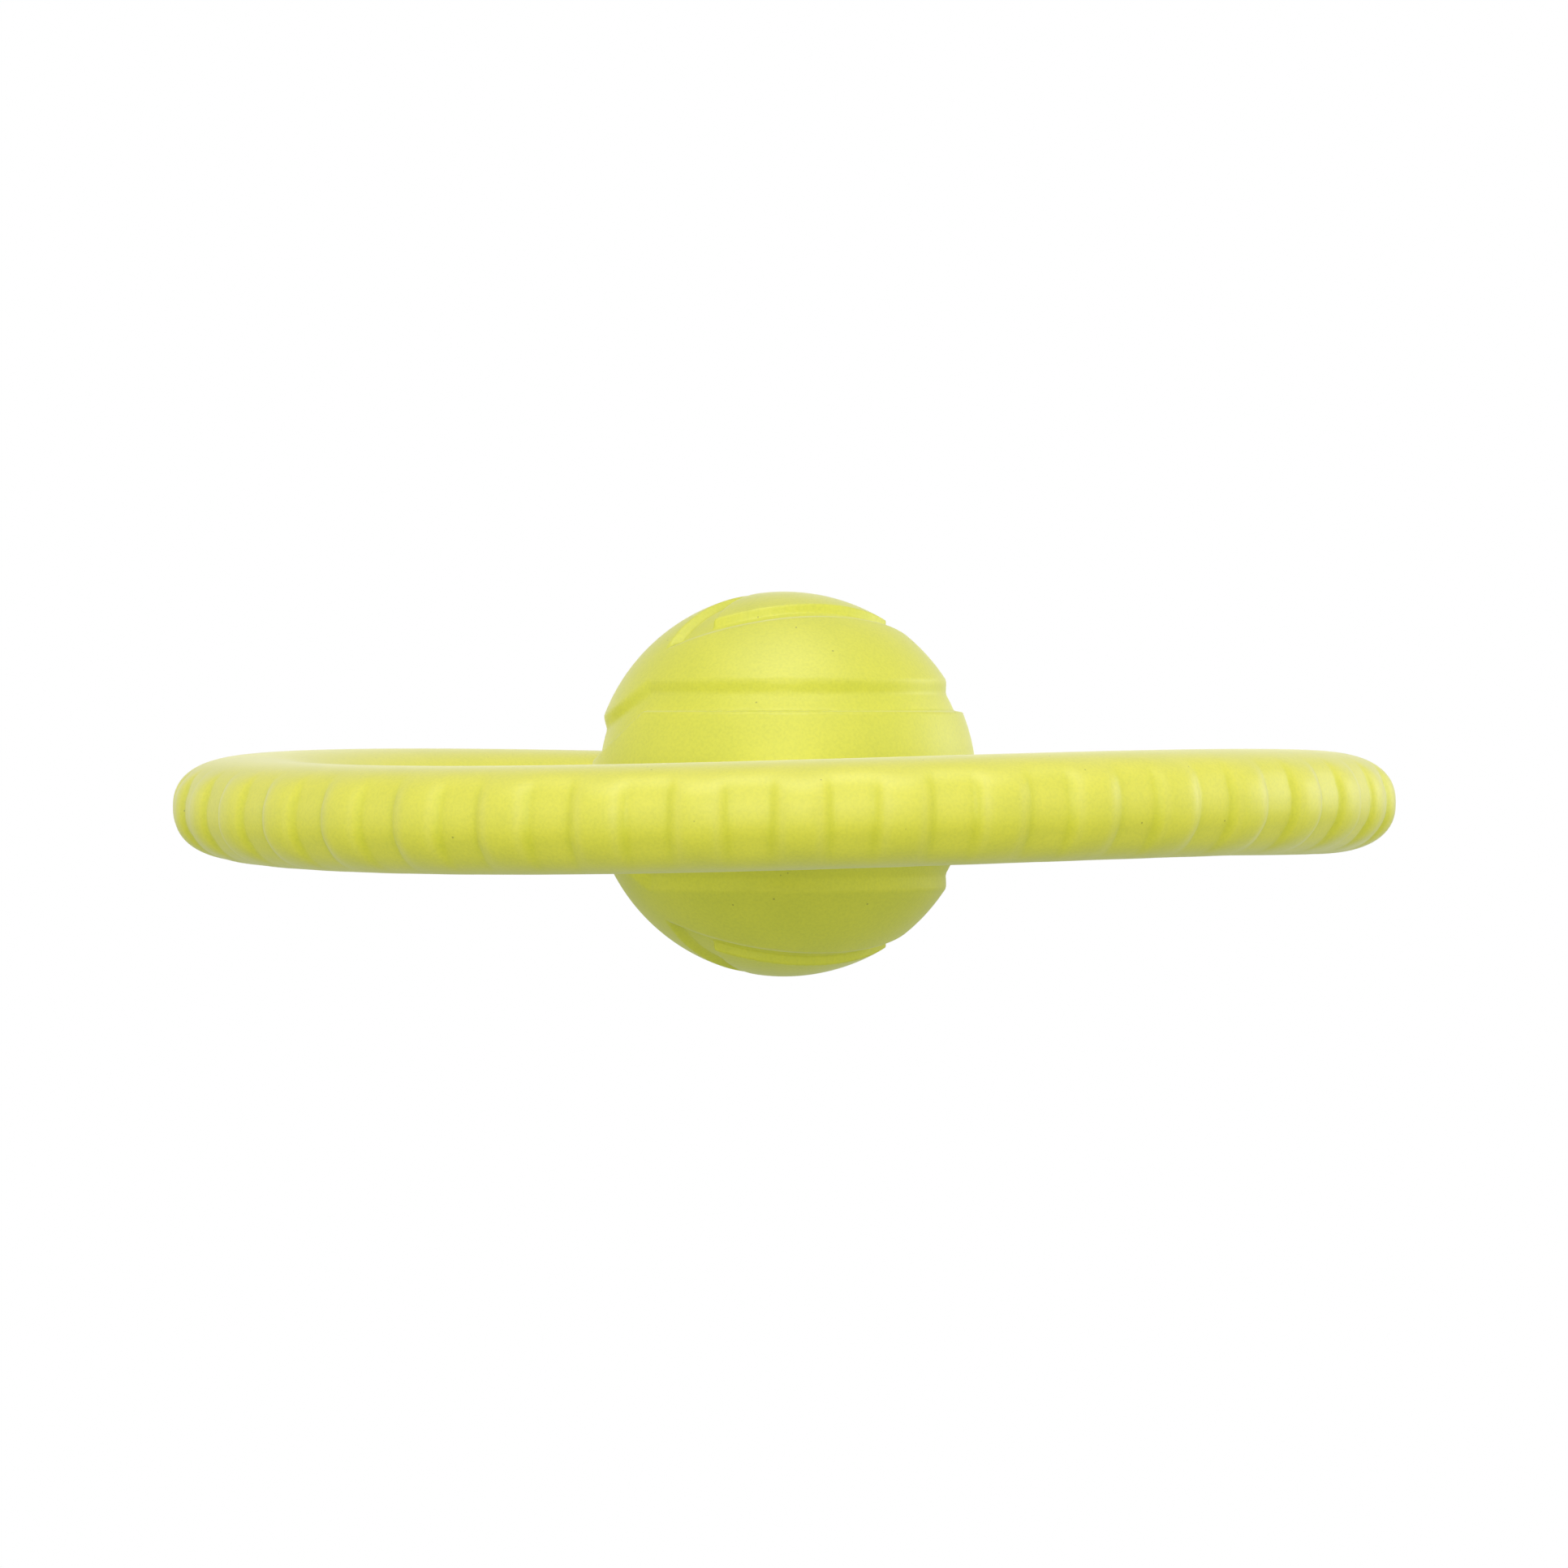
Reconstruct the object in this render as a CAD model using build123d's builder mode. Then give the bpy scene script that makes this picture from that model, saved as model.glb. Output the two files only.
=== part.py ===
"""Ring-and-ball throwing toy of foamed rubber: a ribbed ring, a ball with stepped channels, four soft spokes.

Millimetres, +Z up. The origin is the centre of the ball. The ring lies flat, a little below that centre,
because the soft spokes give under its weight.
"""

import os
from math import atan2, degrees

from build123d import *

# Ring
RING_OUTER_R = 115.0
SECTION_HALF_WIDTH = 15.5  # radial
SECTION_HALF_HEIGHT = 9.6
NOSE_R = 7.4  # the section's outer and inner noses
RING_SAG = 4.2  # how far the ring's middle plane hangs below the ball's centre
RIB_COUNT = 40
RECESS_ANGLE = 3.6  # degrees of each rib's pitch that are recessed
RECESS_DEPTH = 1.1
RECESS_FADE = 0.25  # how much taller the recess is, so that it runs out near top and bottom
FRONT_RIB_ANGLE = 1.5  # degrees that the foremost rib's middle stands to the right of the front

# Ball
BALL_R = 36.3
CHANNEL_DEPTH = 1.4
BAND_HALF_HEIGHT = 13.4  # the equatorial band's edge
BAND_SLOPE = 0.95  # slope of that edge where it drops towards the left
BAND_DROP_Z = 38.5  # height of that sloping plane over the ball's middle
SHOULDER_Z = 19.6  # the lower edge of the shoulder bands
SHOULDER_SLOPE = 0.763
SHOULDER_DROP_Z = 38.9
CROWN_AXIS = (-0.16, 0.336, 0.928)  # direction that the crown channel's outer edge goes about
CROWN_EDGE = 0.604  # cosine of that edge, seen from the ball's centre
CAP_AXIS = (-0.182, 0.411, 0.893)  # the same for the leaf-shaped cap inside the channel
CAP_EDGE = 0.663
# The channel's left arm sweeps over the crown obliquely, between an outer edge and the cap's end
SWEEP_AXIS = (0.52, -0.74, 0.42)
SWEEP_EDGE = 0.262
CAP_END_AXIS = (0.637, -0.59, 0.496)
CAP_END_EDGE = 0.427

# Spokes
SPOKE_WIDTH = 16.0
SPOKE_THICKNESS = 7.0
SPOKE_ROUND = 2.5
SPOKE_IN_RING = 6.0  # how deep a spoke is anchored in the ring
SPOKE_FACE_R = 33.4  # flat at the bottom of the ball's pocket, where the spoke is bonded
POCKET_CLEARANCE = 0.4
SPOKE_ANGLES = {"spoke_right": 0, "spoke_rear": 90, "spoke_left": 180, "spoke_front": 270}

RING_CENTRE_R = RING_OUTER_R - SECTION_HALF_WIDTH
RING_INNER_R = RING_CENTRE_R - SECTION_HALF_WIDTH
RIB_PITCH = 360 / RIB_COUNT
REACH = 2 * BALL_R  # longer than anything that the cutting shapes have to pass through

os.makedirs("parts", exist_ok=True)


def edge_plane(axis, cosine, mirrored=False):
    """The plane across axis that cuts the ball's surface where the angle to axis has that cosine."""
    direction = Vector(*axis)
    if mirrored:
        direction = Vector(direction.X, -direction.Y, direction.Z)
    normal = direction.normalized()
    return Plane(origin=normal * (BALL_R * cosine), z_dir=normal)


def drop_plane(slope, height, side):
    """The plane along Y that falls to the left above the middle, or for side -1 its mirror image below."""
    return Plane(origin=(0, 0, side * height), z_dir=(-slope, 0, side))


# Spokes: rounded bars that slope down from the ball's flat to the ring and run level into it
spokes = {}
for node, angle in SPOKE_ANGLES.items():
    with BuildPart() as spoke:
        with BuildSketch(Plane.YZ.offset(SPOKE_FACE_R)):
            RectangleRounded(SPOKE_WIDTH, SPOKE_THICKNESS, SPOKE_ROUND)
        with BuildSketch(Plane.YZ.offset(RING_INNER_R)):
            with Locations((0, -RING_SAG)):
                RectangleRounded(SPOKE_WIDTH, SPOKE_THICKNESS, SPOKE_ROUND)
        loft()
        extrude(spoke.faces().sort_by(Axis.X)[-1], amount=SPOKE_IN_RING)
    spokes[node] = spoke.part.rotate(Axis.Z, angle)


def oval(half_width, half_height, nose_r):
    """An oval of four tangent arcs: a nose of nose_r at each end, and flatter arcs above and below."""
    nose_x = half_width - nose_r
    flat_r = (nose_x**2 + half_height**2 - nose_r**2) / (2 * (half_height - nose_r))
    flat_z = half_height - flat_r
    turn = degrees(atan2(-flat_z, nose_x))
    with BuildSketch() as face:
        with BuildLine():
            CenterArc((nose_x, 0), nose_r, -turn, 2 * turn)
            CenterArc((0, flat_z), flat_r, turn, 180 - 2 * turn)
            CenterArc((-nose_x, 0), nose_r, 180 - turn, 2 * turn)
            CenterArc((0, -flat_z), flat_r, 180 + turn, 180 - 2 * turn)
        make_face()
    return face.sketch


# Ring: the oval revolved about Z, recessed between its ribs, with a pocket for each spoke
with BuildPart() as recess:
    with BuildSketch(Plane.XZ):
        with Locations((RING_CENTRE_R, -RING_SAG)):
            Rectangle(
                SECTION_HALF_WIDTH + RECESS_DEPTH,
                2 * SECTION_HALF_HEIGHT,
                align=(Align.MIN, Align.CENTER),
            )
            add(
                oval(SECTION_HALF_WIDTH - RECESS_DEPTH, SECTION_HALF_HEIGHT + RECESS_FADE, NOSE_R),
                mode=Mode.SUBTRACT,
            )
    revolve(axis=Axis.Z, revolution_arc=RECESS_ANGLE)

with BuildPart() as ring:
    with BuildSketch(Plane.XZ):
        with Locations((RING_CENTRE_R, -RING_SAG)):
            add(oval(SECTION_HALF_WIDTH, SECTION_HALF_HEIGHT, NOSE_R))
    revolve(axis=Axis.Z)
    first_recess = -90 + FRONT_RIB_ANGLE + (RIB_PITCH - RECESS_ANGLE) / 2
    with PolarLocations(0, RIB_COUNT, start_angle=first_recess):
        add(recess.part, mode=Mode.SUBTRACT)
    for solid in spokes.values():
        add(solid, mode=Mode.SUBTRACT)
ring.part.label = "ring"
export_step(ring.part, "parts/ring.step")

# Ball: the channels are cut from a full sphere
with BuildPart() as equatorial_band:
    Box(2 * REACH, 2 * REACH, 2 * BAND_HALF_HEIGHT)
    for side in (1, -1):
        split(bisect_by=drop_plane(BAND_SLOPE, BAND_DROP_Z, side), keep=Keep.BOTTOM)

with BuildPart() as shoulder_channels:
    Sphere(BALL_R + CHANNEL_DEPTH)
    split(bisect_by=Plane.XY.offset(SHOULDER_Z), keep=Keep.BOTTOM)
    split(bisect_by=Plane.XY.offset(-SHOULDER_Z), keep=Keep.TOP)
    for side in (1, -1):
        split(bisect_by=drop_plane(SHOULDER_SLOPE, SHOULDER_DROP_Z, side), keep=Keep.BOTTOM)
    Sphere(BALL_R - CHANNEL_DEPTH, mode=Mode.SUBTRACT)
    add(equatorial_band.part, mode=Mode.SUBTRACT)

with BuildPart() as polar_cap:
    Sphere(BALL_R + 2 * CHANNEL_DEPTH)
    for mirrored in (False, True):
        split(bisect_by=edge_plane(CAP_AXIS, CAP_EDGE, mirrored), keep=Keep.TOP)
    split(bisect_by=edge_plane(CAP_END_AXIS, CAP_END_EDGE), keep=Keep.TOP)

with BuildPart() as crown_channel:
    Sphere(BALL_R + CHANNEL_DEPTH)
    for mirrored in (False, True):
        split(bisect_by=edge_plane(CROWN_AXIS, CROWN_EDGE, mirrored), keep=Keep.TOP)
    split(bisect_by=edge_plane(SWEEP_AXIS, SWEEP_EDGE), keep=Keep.TOP)
    Sphere(BALL_R - CHANNEL_DEPTH, mode=Mode.SUBTRACT)
    add(polar_cap.part, mode=Mode.SUBTRACT)

with BuildPart() as ball:
    Sphere(BALL_R)
    add(shoulder_channels.part, mode=Mode.SUBTRACT)
    add(crown_channel.part, mode=Mode.SUBTRACT)
    add(mirror(crown_channel.part, about=Plane.XY, mode=Mode.PRIVATE), mode=Mode.SUBTRACT)
    with PolarLocations(SPOKE_FACE_R, len(SPOKE_ANGLES)):
        Box(
            BALL_R,
            SPOKE_WIDTH + 2 * POCKET_CLEARANCE,
            SPOKE_THICKNESS + 2 * POCKET_CLEARANCE,
            align=(Align.MIN, Align.CENTER, Align.CENTER),
            mode=Mode.SUBTRACT,
        )
ball.part.label = "ball"
export_step(ball.part, "parts/ball.step")

for node, solid in spokes.items():
    solid.label = node
    export_step(solid, f"parts/{node}.step")
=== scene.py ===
"""Looks for the ring-and-ball throwing toy: foamed-rubber ring, ball and spokes, on a plain studio stage.

Metres, +Z up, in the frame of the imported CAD. The origin is the ball's centre and the front is towards -Y.
"""

import math

import bmesh
import bpy
import numpy as np
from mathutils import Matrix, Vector


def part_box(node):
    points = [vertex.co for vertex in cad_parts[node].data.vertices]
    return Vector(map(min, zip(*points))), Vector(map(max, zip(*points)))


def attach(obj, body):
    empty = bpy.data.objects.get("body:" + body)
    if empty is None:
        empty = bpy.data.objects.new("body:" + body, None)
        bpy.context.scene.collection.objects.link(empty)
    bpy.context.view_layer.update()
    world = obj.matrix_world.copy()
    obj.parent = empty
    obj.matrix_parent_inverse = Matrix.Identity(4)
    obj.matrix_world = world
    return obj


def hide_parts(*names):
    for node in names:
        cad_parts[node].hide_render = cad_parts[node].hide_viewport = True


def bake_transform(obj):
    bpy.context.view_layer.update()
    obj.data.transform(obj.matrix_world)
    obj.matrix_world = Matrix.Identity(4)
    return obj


MM = 0.001

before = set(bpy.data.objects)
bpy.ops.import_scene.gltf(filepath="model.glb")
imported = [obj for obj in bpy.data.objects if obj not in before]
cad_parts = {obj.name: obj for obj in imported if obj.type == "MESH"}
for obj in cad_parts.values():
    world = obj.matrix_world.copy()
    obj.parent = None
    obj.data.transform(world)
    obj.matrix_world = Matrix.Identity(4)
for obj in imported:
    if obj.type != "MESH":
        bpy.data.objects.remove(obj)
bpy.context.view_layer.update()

# Sizes that the CAD frame gives
RING_LOW, RING_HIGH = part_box("ring")
BALL_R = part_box("ball")[1].z
RING_OUTER_R = RING_HIGH.x
RING_Z = (RING_LOW.z + RING_HIGH.z) / 2
SECTION_HALF_HEIGHT = (RING_HIGH.z - RING_LOW.z) / 2

# Ring
SECTION_HALF_WIDTH = 15.5 * MM
SECTION_SQUARENESS = 2.4  # 2 is an ellipse, more is fuller
RIB_COUNT = 40
RIB_SHARE = 0.58  # part of each pitch that is raised, foot to foot
RIB_FULLNESS = 3.0  # 2 is round-backed, more is flatter with steeper sides
RECESS_DEPTH = 1.35 * MM
RECESS_MIDDLE = -0.08  # height of the recesses' middle, as a share of the half height
RECESS_FULL_TO = 0.42  # share of the half height, up and down from there, with the full depth
RECESS_ENDS_AT = 0.96  # and the share where it has run out
FRONT_RIB_ANGLE = math.radians(1.5)  # the foremost rib's middle, to the right of the front
RING_TILT = 0.26 * MM  # the right side stands this much above the middle height, and the left as much below
RING_SADDLE = -0.30 * MM  # the same for front and back, with the sides the other way
RING_TWIST = 1.25 * MM  # the front rises this much to the right and the back to the left
STEPS_PER_RIB = 32
SECTION_STEPS = 76

# Ball
CHANNEL_DEPTH = 1.4 * MM
BAND_HALF_HEIGHT = 13.4 * MM
BAND_SLOPE = 0.95  # of the band's edge, where it drops towards the left
BAND_DROP_Z = 38.5 * MM  # height of that sloping plane over the ball's middle
SHOULDER_Z = 19.8 * MM
SHOULDER_SLOPE = 0.763
SHOULDER_DROP_Z = 38.9 * MM
CROWN_AXIS = (-0.16, 0.336, 0.928)  # direction that the crown channel's outer edge goes about
CROWN_EDGE = 0.604  # cosine of that edge, seen from the ball's centre
CAP_AXIS = (-0.182, 0.411, 0.893)  # the same for the leaf-shaped cap inside the channel
CAP_EDGE = 0.663
SWEEP_AXIS = (0.52, -0.74, 0.42)  # the channel's left arm sweeps over the crown, square to this direction
SWEEP_EDGE = 0.262  # cosine of that arm's outer edge
CAP_END_AXIS = (0.637, -0.59, 0.496)  # the cap's end, along that arm
CAP_END_EDGE = 0.427
STEEP_WALL = 1.2 * MM  # how far a wall spreads along the surface
SHOULDER_WALL = 2.8 * MM
CROWN_WALL = 3.6 * MM
CAP_WALL = 0.9 * MM
SWEEP_WALL = 1.4 * MM
WALL_ROUNDING = 0.22  # share of a wall's spread that each of its two edges is rounded over
SNAP = 0.12 * MM  # mesh points this near to a wall's edge are moved onto it
BALL_STEPS = 104  # along each edge of the cube that the ball's mesh starts from

# Spokes
SPOKE_HALF_WIDTH = 8.0 * MM
SPOKE_HALF_THICKNESS = 3.5 * MM
SPOKE_FLARE = 4.5 * MM  # how much each side widens at a root
SPOKE_RING_SWELL = 2.5 * MM  # how much it thickens above and below at the ring; at the ball it stays flat
SPOKE_FLARE_LENGTH = 9.0 * MM
SPOKE_FLARE_CURVE = 2.2  # 1 is a straight taper, more is more hollow
SPOKE_FLARE_LIMIT = 1.2  # the flare grows on to this inside ring and ball, where 1 is at their surface
SPOKE_IN_RING = 3.0 * MM
SPOKE_IN_BALL = 2.5 * MM
SPOKE_SQUARENESS = 3.0
SPOKE_STEPS = 72
SPOKE_SECTION_STEPS = 64
SPOKE_ANGLES = {"spoke_right": 0, "spoke_rear": 90, "spoke_left": 180, "spoke_front": 270}

# Painted light in the skin's colour: painted shade along the feet of ribs and walls, and painted highlight
# along the ribs' shoulders
# Painted shade in the ribs' feet
FOOT_PAINTED_SHADE = 0.6
FOOT_AT = 0.97  # place across a rib, as across_rib gives it
FOOT_SPREAD = 0.2
# Painted highlight along the ribs' shoulders
SHOULDER_PAINTED_HIGHLIGHT = 0.3
SHOULDER_AT = 0.66
SHOULDER_SPREAD = 0.16
# Painted shade on the ball's channel walls
WALL_PAINTED_SHADE = 0.25
WALL_SHADE_AT = 0.4  # 0 at a wall's foot, 1 at its top
WALL_SHADE_SPREAD = 0.35

# Foam
WHITE = (1, 1, 1)
RING_LIME = (0.925, 0.898, 0.066)
BALL_LIME = (0.83, 0.832, 0.046)
PAINTED_HIGHLIGHT_KEEPS = (0.95, 0.95, 0.9)  # share of the colour that stays under the strongest painted highlight, on the shoulders
PAINTED_HIGHLIGHT_ADDED = (0.05, 0.05, 0.12)  # and the whitish painted highlight added to it there
PAINTED_SHADE_TINT = (0.88, 0.91, 0.18)  # the colour is multiplied by this where the painted shade is strongest, in the feet
SKIN = {
    "Roughness": 0.5,
    "IOR": 1.5,
    "Specular IOR Level": 1.0,
    "Coat Weight": 0.25,
    "Coat Roughness": 0.5,
    "Sheen Weight": 0.45,
    "Sheen Roughness": 0.35,
    "Subsurface Weight": 0.12,
    "Subsurface Radius": (1.0, 0.9, 0.25),
    "Subsurface Scale": 2.0 * MM,
}
# Each layer: its size, its noise detail, the two noise levels that it lies between, and its darkest tint
MOTTLE = (9 * MM, 3, 0.35, 0.65, (0.96, 0.97, 0.92))
GRAIN = (0.55 * MM, 2, 0.30, 0.62, (0.93, 0.94, 0.88))
SPECK_SPACING = 5.5 * MM
SPECK_INNER = 0.018  # radius of a speck's dark middle, as a share of that spacing
SPECK_OUTER = 0.045  # and of its faded rim
SPECK_TINT = (0.55, 0.54, 0.40)
PORE_SIZE = 0.45 * MM
PORE_DETAIL = 3
PORE_DEPTH = 0.08 * MM
PORE_STRENGTH = 0.35

# Stage
NEUTRAL = (1, 1, 1)
LEAFY = (0.93, 1, 0.72)
WARM = (1, 0.985, 0.92)
# The room's brightness and tint by height, from -1 below to 1 above
WALLS_BY_HEIGHT = (
    (-1, 0.4, LEAFY),
    (-0.05, 1, NEUTRAL),
    (0.3, 0.72, NEUTRAL),
    (1, 0.32, NEUTRAL),
)
# How that is dimmed by depth, from -1 behind the camera to 1 behind the toy
WALLS_BY_DEPTH = (
    (-1, 1, WARM),
    (-0.75, 0.92, WARM),
    (-0.3, 0.82, NEUTRAL),
    (1, 0.7, NEUTRAL),
)
WALLS_STRENGTH = 1.44
FLOOR_DROP = 0.25  # how far the floor lies below the ball's middle
FLOOR_R = 8.0
FLOOR_SIDES = 96
FLOOR_GREY = (0.75, 0.75, 0.75)
FADE_FROM = 0.35  # distance from the middle where the floor begins to fade to white
FADE_TO = 0.75
FLOOR_BOUNCE = 0.455  # brightness of what the floor throws back
# Each lamp: place, width, power in watts, and whether it shows in glossy reflections only
LAMPS = {
    "overhead": ((0.0, -0.35, 1.2), 1.0, 3.2, False),
    "overhead_sheen": ((0.0, -0.35, 1.2), 1.0, 6.0, True),
    "front": ((0.0, -1.26, 0.32), 0.5, 2.0, False),
    "side": ((1.2, 0.5, 0.25), 0.6, 2.6, False),
}

# Camera
CAMERA_DISTANCE = 1.25
CAMERA_ELEVATION = math.radians(0.53)
VIEW_WIDTH = 0.2958  # how much the picture takes in at the ball's centre
SENSOR_WIDTH = 36  # millimetres
NEAREST = 0.05
FARTHEST = 100


def smooth(t):
    """0 below 0, 1 above 1 and a smooth rise between."""
    t = np.clip(t, 0, 1)
    return t * t * (3 - 2 * t)


def bump(t, middle, spread):
    """1 where t is at the middle, and smoothly less away from it."""
    return np.exp(-(((t - middle) / spread) ** 2))


def unit(axis):
    return np.array(axis, float) / np.linalg.norm(axis)


def add_piece(name, mesh):
    """A smooth-shaded object of that mesh, in the scene."""
    mesh.polygons.foreach_set("use_smooth", np.ones(len(mesh.polygons), bool))
    mesh.update()
    piece = bpy.data.objects.new(name, mesh)
    bpy.context.scene.collection.objects.link(piece)
    return piece


def mesh_piece(name, points, faces):
    """A piece from points in metres and faces as index lists."""
    mesh = bpy.data.meshes.new(name)
    mesh.from_pydata([tuple(p) for p in points], [], [tuple(f) for f in faces])
    return add_piece(name, mesh)


def grid_faces(rows, columns, closed_rows):
    """Quads of a grid whose columns close up, and whose rows do so too if closed_rows is true."""
    faces = []
    for i in range(rows if closed_rows else rows - 1):
        for j in range(columns):
            k = (j + 1) % columns
            n = (i + 1) % rows
            faces.append((i * columns + j, n * columns + j, n * columns + k, i * columns + k))
    return faces


def superellipse(angles, half_width, half_height, squareness):
    """Points of a superellipse, as two arrays."""
    power = 2 / squareness
    across = np.sign(np.cos(angles)) * np.abs(np.cos(angles)) ** power * half_width
    up = np.sign(np.sin(angles)) * np.abs(np.sin(angles)) ** power * half_height
    return across, up


def set_painted_light(mesh, painted_light):
    """Stores the painted light in the skin's colour: above 0 painted shade, deeper and richer, below 0
    painted highlight, paler.
    """
    attribute = mesh.attributes.new("painted_light", "FLOAT", "POINT")
    attribute.data.foreach_set("value", np.asarray(painted_light, np.float32))


def ring_height(round_from_front):
    """Height of the ring's slightly twisted middle line, by angle from the front to the right."""
    a = round_from_front
    return RING_Z + RING_TILT * np.sin(a) + RING_SADDLE * np.cos(2 * a) + RING_TWIST * np.sin(2 * a)


def across_rib(round_from_front):
    """Place across a rib, by angle: 0 at its middle, 1 at its feet, and more in the recess."""
    place = (round_from_front - FRONT_RIB_ANGLE) / (2 * math.pi / RIB_COUNT)
    return np.abs(place - np.round(place)) / (RIB_SHARE / 2)


def make_ring():
    """The ring: an oval section carried round, drawn in between the ribs on its outer side."""
    around = np.linspace(0, 2 * math.pi, RIB_COUNT * STEPS_PER_RIB, endpoint=False)
    angles = np.linspace(0, 2 * math.pi, SECTION_STEPS, endpoint=False)
    across, up = superellipse(angles, SECTION_HALF_WIDTH, SECTION_HALF_HEIGHT, SECTION_SQUARENESS)
    level = np.abs(up / SECTION_HALF_HEIGHT - RECESS_MIDDLE)
    fade = 1 - smooth((level - RECESS_FULL_TO) / (RECESS_ENDS_AT - RECESS_FULL_TO))
    fade = np.where(across > 0, fade, 0)
    rib = across_rib(around)
    inset = np.outer(RECESS_DEPTH * np.minimum(rib, 1) ** RIB_FULLNESS, fade)
    middle_r = RING_OUTER_R - SECTION_HALF_WIDTH
    reach = middle_r + across[None, :] - inset * np.cos(angles)[None, :]
    height = ring_height(around)[:, None] + up[None, :] - inset * np.sin(angles)[None, :]
    x = reach * np.sin(around)[:, None]
    y = -reach * np.cos(around)[:, None]
    points = np.stack([x, y, height], axis=-1).reshape(-1, 3)
    piece = mesh_piece("ring_foam", points, grid_faces(len(around), len(angles), True))
    # Painted shade in the ribs' feet and painted highlight along their shoulders, stored for the skin's
    # colour
    foot_shade = FOOT_PAINTED_SHADE * bump(rib, FOOT_AT, FOOT_SPREAD)
    shoulder = SHOULDER_PAINTED_HIGHLIGHT * bump(rib, SHOULDER_AT, SHOULDER_SPREAD)
    set_painted_light(piece.data, np.outer(foot_shade - shoulder, fade).ravel())
    return piece


def bevel(t):
    """0 below 0, 1 above 1 and a straight rise between, with both its ends rounded."""
    e = WALL_ROUNDING
    t = np.clip(t, 0, 1)
    low = t * t / (2 * e * (1 - e))
    high = 1 - (1 - t) ** 2 / (2 * e * (1 - e))
    return np.where(t < e, low, np.where(t > 1 - e, high, (t - e / 2) / (1 - e)))


def ball_edges():
    """The circles that bound the ball's raised parts, as {name: (axis, cosine, wall)}.

    A point is raised where its cosine to the axis is above the one given, and the wall falls outwards
    from there.
    """
    drop_level = SHOULDER_DROP_Z / math.hypot(1, SHOULDER_SLOPE) / BALL_R
    tip_level = -BAND_DROP_Z / math.hypot(1, BAND_SLOPE) / BALL_R
    edges = {}
    for half, s in (("upper", 1), ("lower", -1)):
        edges["band_" + half] = ((0, 0, -s), -BAND_HALF_HEIGHT / BALL_R, STEEP_WALL)
        edges["tip_" + half] = ((BAND_SLOPE, 0, -s), tip_level, STEEP_WALL)
        edges["shoulder_" + half] = ((0, 0, s), SHOULDER_Z / BALL_R, SHOULDER_WALL)
        edges["drop_" + half] = ((-SHOULDER_SLOPE, 0, s), drop_level, SHOULDER_WALL)
        sweep = (SWEEP_AXIS[0], SWEEP_AXIS[1], SWEEP_AXIS[2] * s)
        edges["sweep_" + half] = (tuple(-c for c in sweep), -SWEEP_EDGE, SWEEP_WALL)
        end = (CAP_END_AXIS[0], CAP_END_AXIS[1], CAP_END_AXIS[2] * s)
        edges["cap_end_" + half] = (end, CAP_END_EDGE, CAP_WALL)
        for side, t in (("front", 1), ("rear", -1)):
            crown = (CROWN_AXIS[0], CROWN_AXIS[1] * t, CROWN_AXIS[2] * s)
            cap = (CAP_AXIS[0], CAP_AXIS[1] * t, CAP_AXIS[2] * s)
            edges[f"crown_{half}_{side}"] = (tuple(-c for c in crown), -CROWN_EDGE, CROWN_WALL)
            edges[f"cap_{half}_{side}"] = (cap, CAP_EDGE, CAP_WALL)
    return edges


def ball_raised(directions, edges):
    """1 on the ball's raised parts, 0 on the channel floors, and between on the walls."""
    ramp = {}
    for name, (axis, cosine, wall) in edges.items():
        angle = np.arccos(np.clip(directions @ unit(axis), -1, 1))
        ramp[name] = bevel(1 + (math.acos(cosine) - angle) * BALL_R / wall)
    upper = directions[:, 2] > 0

    def halves(name, side=""):
        return np.where(upper, ramp[name + "_upper" + side], ramp[name + "_lower" + side])

    band = np.minimum(halves("band"), halves("tip"))
    above_channel = np.maximum(halves("shoulder"), halves("drop"))
    outside = np.maximum(halves("crown", "_front"), halves("crown", "_rear"))
    outside = np.maximum(outside, halves("sweep"))
    cap = np.minimum(halves("cap", "_front"), halves("cap", "_rear"))
    cap = np.minimum(cap, halves("cap_end"))
    return np.maximum(band, np.minimum(above_channel, np.maximum(outside, cap)))


def make_ball():
    """The ball: a cube's grid blown up to a sphere, cut along each wall's edges, and sunk at the channels."""
    edges = ball_edges()
    bm = bmesh.new()
    bmesh.ops.create_cube(bm, size=2)
    bmesh.ops.subdivide_edges(bm, edges=bm.edges[:], cuts=BALL_STEPS - 1, use_grid_fill=True)
    for v in bm.verts:
        flat = np.tan(np.array(v.co) * math.pi / 4)
        v.co = Vector(flat).normalized()
    for axis, cosine, wall in edges.values():
        normal = Vector(axis).normalized()
        top = math.acos(cosine)
        for share in (0, WALL_ROUNDING, 1 - WALL_ROUNDING, 1):
            level = math.cos(top + share * wall / BALL_R)
            bmesh.ops.bisect_plane(
                bm,
                geom=bm.verts[:] + bm.edges[:] + bm.faces[:],
                plane_co=normal * level,
                plane_no=normal,
                dist=SNAP / BALL_R,
                use_snap_center=True,
            )
    mesh = bpy.data.meshes.new("ball_foam")
    bm.to_mesh(mesh)
    bm.free()
    co = np.empty(len(mesh.vertices) * 3)
    mesh.vertices.foreach_get("co", co)
    directions = co.reshape(-1, 3)
    directions /= np.linalg.norm(directions, axis=1)[:, None]
    raised = ball_raised(directions, edges)
    radius = BALL_R - CHANNEL_DEPTH * (1 - raised)
    mesh.vertices.foreach_set("co", (directions * radius[:, None]).ravel())
    # Painted shade on the channel walls, stored for the skin's colour
    set_painted_light(mesh, WALL_PAINTED_SHADE * bump(raised, WALL_SHADE_AT, WALL_SHADE_SPREAD))
    return add_piece("ball_foam", mesh)


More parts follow.
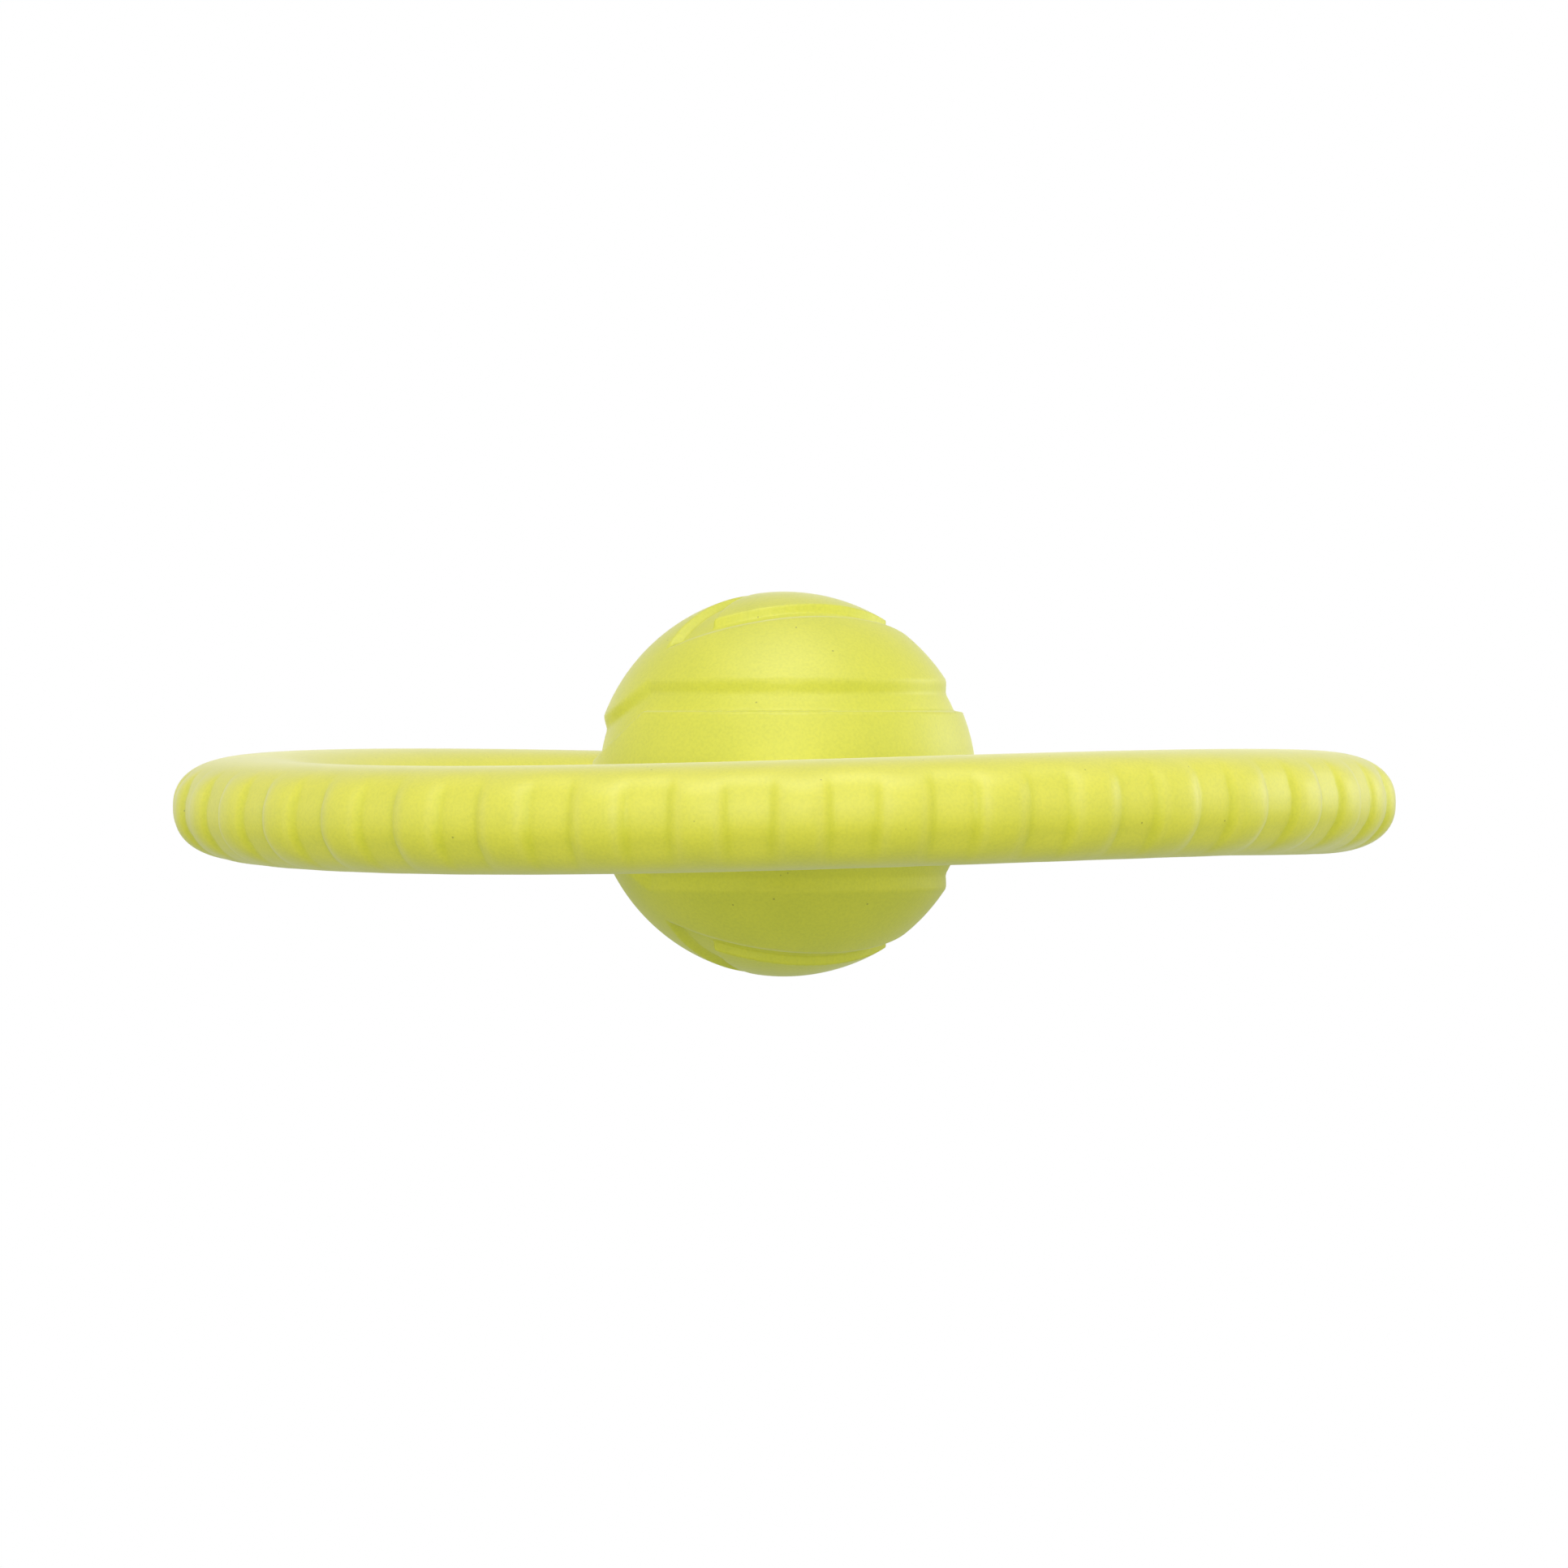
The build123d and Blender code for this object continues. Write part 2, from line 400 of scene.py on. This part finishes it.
def make_spoke(node, angle):
    """One spoke, flared at both roots, in an S from the ball's middle down to the sagging ring."""
    turn = math.radians(angle)
    ring_r = RING_OUTER_R - 2 * SECTION_HALF_WIDTH
    start_r = BALL_R - SPOKE_IN_BALL
    end_r = ring_r + SPOKE_IN_RING
    end_z = float(ring_height(np.array(turn + math.pi / 2)))
    along = np.linspace(0, 1, SPOKE_STEPS)
    reach = start_r + (end_r - start_r) * along
    z = end_z * smooth((reach - BALL_R) / (ring_r - BALL_R))

    def flare_towards(gap):
        return np.clip(1 - gap / SPOKE_FLARE_LENGTH, 0, SPOKE_FLARE_LIMIT) ** SPOKE_FLARE_CURVE

    to_ball = flare_towards(reach - BALL_R)
    to_ring = flare_towards(ring_r - reach)
    flare = SPOKE_FLARE * np.maximum(to_ball, to_ring)
    swell = SPOKE_RING_SWELL * to_ring
    angles = np.linspace(0, 2 * math.pi, SPOKE_SECTION_STEPS, endpoint=False)
    rows = []
    for r, h, f, t in zip(reach, z, flare, swell):
        half_width = SPOKE_HALF_WIDTH + f
        half_thickness = SPOKE_HALF_THICKNESS + t
        across, up = superellipse(angles, half_width, half_thickness, SPOKE_SQUARENESS)
        x = r * math.cos(turn) - across * math.sin(turn)
        y = r * math.sin(turn) + across * math.cos(turn)
        rows.append(np.stack([x, y, up + h], axis=-1))
    points = np.concatenate(rows)
    faces = grid_faces(SPOKE_STEPS, SPOKE_SECTION_STEPS, False)
    faces.append(tuple(range(SPOKE_SECTION_STEPS)))
    last = (SPOKE_STEPS - 1) * SPOKE_SECTION_STEPS
    faces.append(tuple(reversed(range(last, last + SPOKE_SECTION_STEPS))))
    piece = mesh_piece(node + "_foam", points, faces)
    set_painted_light(piece.data, np.zeros(len(points)))
    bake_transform(piece)
    return piece


def multiply(nodes, links, a, b):
    """The product of two colours."""
    node = nodes.new("ShaderNodeMix")
    node.data_type = "RGBA"
    node.blend_type = "MULTIPLY"
    node.inputs["Factor"].default_value = 1
    links.new(a, node.inputs["A"])
    links.new(b, node.inputs["B"])
    return node.outputs["Result"]


def from_minus_one(nodes, links, value):
    """A value that goes from -1 to 1, brought to 0 to 1."""
    node = nodes.new("ShaderNodeMapRange")
    node.inputs["From Min"].default_value = -1
    links.new(value, node.inputs["Value"])
    return node.outputs["Result"]


def foam_material(name, colour):
    """Foamed rubber: a satin, slightly translucent skin with pores, faint mottling and a few dark specks,
    with painted shade and painted highlight from each mesh's stored values.
    """
    material = bpy.data.materials.new(name)
    material.use_nodes = True
    nodes = material.node_tree.nodes
    links = material.node_tree.links
    skin = nodes["Principled BSDF"]
    for socket, value in SKIN.items():
        skin.inputs[socket].default_value = value
    place = nodes.new("ShaderNodeTexCoord")

    def noise_at(size, detail):
        node = nodes.new("ShaderNodeTexNoise")
        node.inputs["Scale"].default_value = 1 / size
        node.inputs["Detail"].default_value = detail
        links.new(place.outputs["Object"], node.inputs["Vector"])
        return node.outputs["Fac"]

    def ramp(source, low, high, from_colour, to_colour):
        node = nodes.new("ShaderNodeValToRGB")
        node.color_ramp.elements[0].position = low
        node.color_ramp.elements[1].position = high
        node.color_ramp.elements[0].color = (*from_colour, 1)
        node.color_ramp.elements[1].color = (*to_colour, 1)
        links.new(source, node.inputs["Fac"])
        return node

    # The stored painted light turns the colour paler for painted highlight and deeper for painted shade
    tone = nodes.new("ShaderNodeAttribute")
    tone.attribute_name = "painted_light"
    highlight_colour = tuple(c * k + p for c, k, p in zip(colour, PAINTED_HIGHLIGHT_KEEPS, PAINTED_HIGHLIGHT_ADDED))
    shade_colour = tuple(c * k for c, k in zip(colour, PAINTED_SHADE_TINT))
    toned = ramp(from_minus_one(nodes, links, tone.outputs["Fac"]), 0, 1, highlight_colour, shade_colour)
    middle = toned.color_ramp.elements.new(0.5)
    middle.color = (*colour, 1)
    skin_colour = toned.outputs["Color"]
    for size, detail, low, high, tint in (MOTTLE, GRAIN):
        layer = ramp(noise_at(size, detail), low, high, tint, WHITE)
        skin_colour = multiply(nodes, links, skin_colour, layer.outputs["Color"])
    specks = nodes.new("ShaderNodeTexVoronoi")
    specks.inputs["Scale"].default_value = 1 / SPECK_SPACING
    links.new(place.outputs["Object"], specks.inputs["Vector"])
    speck = ramp(specks.outputs["Distance"], SPECK_INNER, SPECK_OUTER, SPECK_TINT, WHITE)
    skin_colour = multiply(nodes, links, skin_colour, speck.outputs["Color"])
    links.new(skin_colour, skin.inputs["Base Color"])
    pores = nodes.new("ShaderNodeBump")
    pores.inputs["Strength"].default_value = PORE_STRENGTH
    pores.inputs["Distance"].default_value = PORE_DEPTH
    links.new(noise_at(PORE_SIZE, PORE_DETAIL), pores.inputs["Height"])
    links.new(pores.outputs["Normal"], skin.inputs["Normal"])
    return material


def only_camera(nodes, links, seen, otherwise, socket):
    """Mixes two shaders: one for what the camera sees directly, and the other for all light."""
    path = nodes.new("ShaderNodeLightPath")
    mix = nodes.new("ShaderNodeMixShader")
    links.new(path.outputs["Is Camera Ray"], mix.inputs["Fac"])
    links.new(otherwise, mix.inputs[1])
    links.new(seen, mix.inputs[2])
    links.new(mix.outputs["Shader"], socket)


def make_floor():
    """A pale floor that fades to pure white away from the middle, and throws back little light."""
    bpy.ops.mesh.primitive_circle_add(
        vertices=FLOOR_SIDES, radius=FLOOR_R, fill_type="NGON", location=(0, 0, -FLOOR_DROP)
    )
    floor = bpy.context.object
    floor.name = "floor"
    material = bpy.data.materials.new("floor_paper")
    material.use_nodes = True
    nodes = material.node_tree.nodes
    links = material.node_tree.links
    surface = nodes["Principled BSDF"]
    surface.inputs["Base Color"].default_value = (*FLOOR_GREY, 1)
    surface.inputs["Roughness"].default_value = 1
    surface.inputs["Specular IOR Level"].default_value = 0
    floor.data.materials.append(material)
    glow = nodes.new("ShaderNodeEmission")
    place = nodes.new("ShaderNodeTexCoord")
    length = nodes.new("ShaderNodeVectorMath")
    length.operation = "LENGTH"
    links.new(place.outputs["Object"], length.inputs[0])
    fade = nodes.new("ShaderNodeMapRange")
    fade.interpolation_type = "SMOOTHSTEP"
    fade.inputs["From Min"].default_value = FADE_FROM
    fade.inputs["From Max"].default_value = FADE_TO
    links.new(length.outputs["Value"], fade.inputs["Value"])
    mix = nodes.new("ShaderNodeMixShader")
    links.new(fade.outputs["Result"], mix.inputs["Fac"])
    links.new(surface.outputs["BSDF"], mix.inputs[1])
    links.new(glow.outputs["Emission"], mix.inputs[2])
    bounce = nodes.new("ShaderNodeEmission")
    bounce.inputs["Color"].default_value = (*LEAFY, 1)
    bounce.inputs["Strength"].default_value = FLOOR_BOUNCE
    output = nodes["Material Output"].inputs["Surface"]
    only_camera(nodes, links, mix.outputs["Shader"], bounce.outputs["Emission"], output)


def area_light(name, place, size, power, sheen_only):
    """A square lamp that shines on the middle, and for sheen only shows in glossy reflections."""
    data = bpy.data.lights.new(name, "AREA")
    data.shape = "SQUARE"
    data.size = size
    data.energy = power
    lamp = bpy.data.objects.new(name, data)
    lamp.visible_camera = False
    lamp.visible_diffuse = not sheen_only
    lamp.location = place
    lamp.rotation_mode = "QUATERNION"
    lamp.rotation_quaternion = (-Vector(place)).to_track_quat("-Z", "Y")
    bpy.context.scene.collection.objects.link(lamp)


def make_light():
    """A plain white backdrop for the camera, and a soft graded room and four lamps for the light."""
    world = bpy.data.worlds.new("studio")
    world.use_nodes = True
    nodes = world.node_tree.nodes
    links = world.node_tree.links
    white = nodes["Background"]
    white.inputs["Color"].default_value = (*WHITE, 1)
    white.inputs["Strength"].default_value = 1.0
    place = nodes.new("ShaderNodeTexCoord")
    split = nodes.new("ShaderNodeSeparateXYZ")
    links.new(place.outputs["Generated"], split.inputs["Vector"])

    def walls(source, stops):
        node = nodes.new("ShaderNodeValToRGB")
        elements = node.color_ramp.elements
        for _ in range(len(stops) - len(elements)):
            elements.new(0.5)
        for element, (level, brightness, tint) in zip(elements, stops):
            element.position = (level + 1) / 2
            element.color = (*(brightness * c for c in tint), 1)
        links.new(from_minus_one(nodes, links, source), node.inputs["Fac"])
        return node.outputs["Color"]

    by_height = walls(split.outputs["Z"], WALLS_BY_HEIGHT)
    by_depth = walls(split.outputs["Y"], WALLS_BY_DEPTH)
    soft = nodes.new("ShaderNodeBackground")
    soft.inputs["Strength"].default_value = WALLS_STRENGTH
    links.new(multiply(nodes, links, by_height, by_depth), soft.inputs["Color"])
    output = nodes["World Output"].inputs["Surface"]
    only_camera(nodes, links, white.outputs[0], soft.outputs[0], output)
    bpy.context.scene.world = world
    for name, (place, size, power, sheen_only) in LAMPS.items():
        area_light(name, place, size, power, sheen_only)


def make_camera():
    """The main view: from the front, about level with the ball's middle."""
    data = bpy.data.cameras.new("camera")
    data.sensor_width = SENSOR_WIDTH
    data.lens = data.sensor_width * CAMERA_DISTANCE / VIEW_WIDTH
    data.clip_start = NEAREST
    data.clip_end = FARTHEST
    camera = bpy.data.objects.new("camera", data)
    back = Vector((0, -math.cos(CAMERA_ELEVATION), math.sin(CAMERA_ELEVATION)))
    camera.location = back * CAMERA_DISTANCE
    camera.rotation_mode = "QUATERNION"
    camera.rotation_quaternion = (-back).to_track_quat("-Z", "Y")
    bpy.context.scene.collection.objects.link(camera)
    bpy.context.scene.camera = camera


# Pieces
ring = make_ring()
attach(ring, "ring")
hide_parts("ring")
ball = make_ball()
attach(ball, "ball")
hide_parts("ball")
ring.data.materials.append(foam_material("ring_foam", RING_LIME))
ball.data.materials.append(foam_material("ball_foam", BALL_LIME))
spoke_foam = foam_material("spoke_foam", RING_LIME)
for node, angle in SPOKE_ANGLES.items():
    spoke = make_spoke(node, angle)
    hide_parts(node)
    spoke.data.materials.append(spoke_foam)

make_floor()
make_light()
make_camera()
bpy.context.scene.view_settings.view_transform = "Standard"
